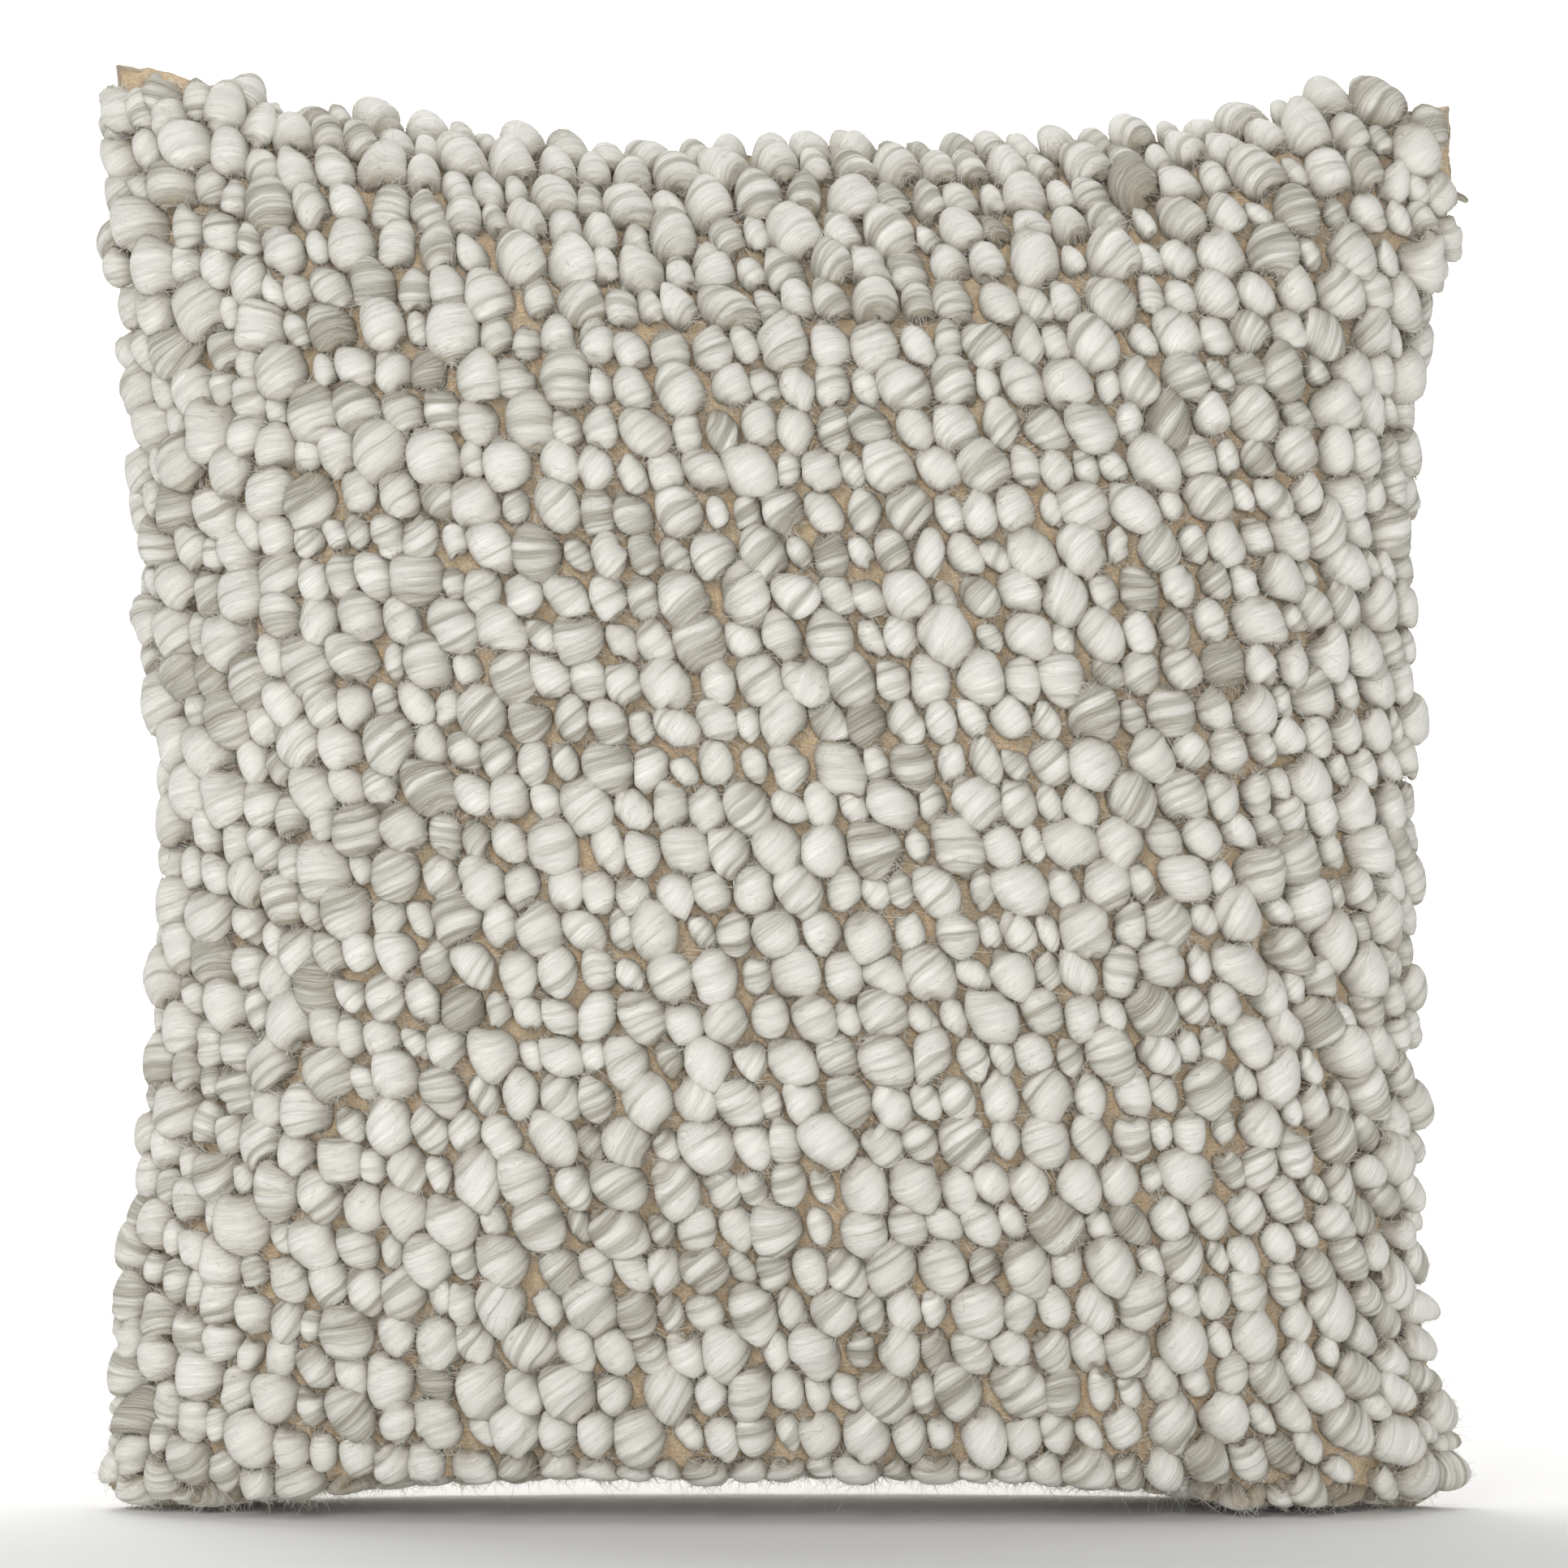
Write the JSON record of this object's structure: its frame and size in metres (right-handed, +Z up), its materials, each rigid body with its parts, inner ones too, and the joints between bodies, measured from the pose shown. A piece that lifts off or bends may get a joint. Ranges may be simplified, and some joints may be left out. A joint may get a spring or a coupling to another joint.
{
  "type": "throw pillow",
  "caption": "Square throw pillow with a looped thick-thin wool pile front, plain woven back with a coil zip, and a filled inner insert.",
  "frame": {"origin": "middle of the cushion's bounding box at the floor, standing upright on its bottom edge", "axes": "+Z up through the cushion's height, -Y out of the looped front, +X to the right seen from the front"},
  "size_m": [0.4857, 0.1534, 0.513],
  "materials": {
    "ground_cloth": "matte",
    "wool_roving": "matte",
    "back_cloth": "matte",
    "thread": "matte",
    "zip_tape": "matte",
    "zip_coil": "satin",
    "zip_metal": "satin",
    "insert_cloth": "matte",
    "insert_filling": "matte"
  },
  "bodies": {
    "cushion": {"front_ground_cloth": "ground_cloth", "wool_roving_rows": "wool_roving", "corner_stitches": "thread", "back_panel_upper": "back_cloth", "back_panel_lower": "back_cloth", "edge_seam_thread": "thread", "zip_tape_upper": "zip_tape", "zip_tape_lower": "zip_tape", "zip_coil_upper": "zip_coil", "zip_coil_lower": "zip_coil", "zip_top_stops": "zip_metal", "zip_bottom_stop": "zip_metal", "zip_topstitch_upper": "thread", "zip_topstitch_lower": "thread", "insert_casing_front": "insert_cloth", "insert_casing_back": "insert_cloth", "insert_seam_thread": "thread", "insert_fill": "insert_filling"},
    "zip_slider": {"zip_slider": "zip_metal"},
    "zip_pull": {"zip_pull_tab": "zip_metal"}
  },
  "joints": [
    {"name": "zip_travel", "type": "hinge", "parent": "cushion", "child": "zip_slider", "pos_m": [0, -0.73899, 0.06627], "axis": [0, 0, 1], "range_deg": [0, 24.3]},
    {"name": "pull_tab_swing", "type": "hinge", "parent": "zip_slider", "child": "zip_pull", "pos_m": [0.1704, 0.04977, 0.06575], "axis": [-0.0282, -0.1308, -0.991], "range_deg": [0, 180]}
  ]
}
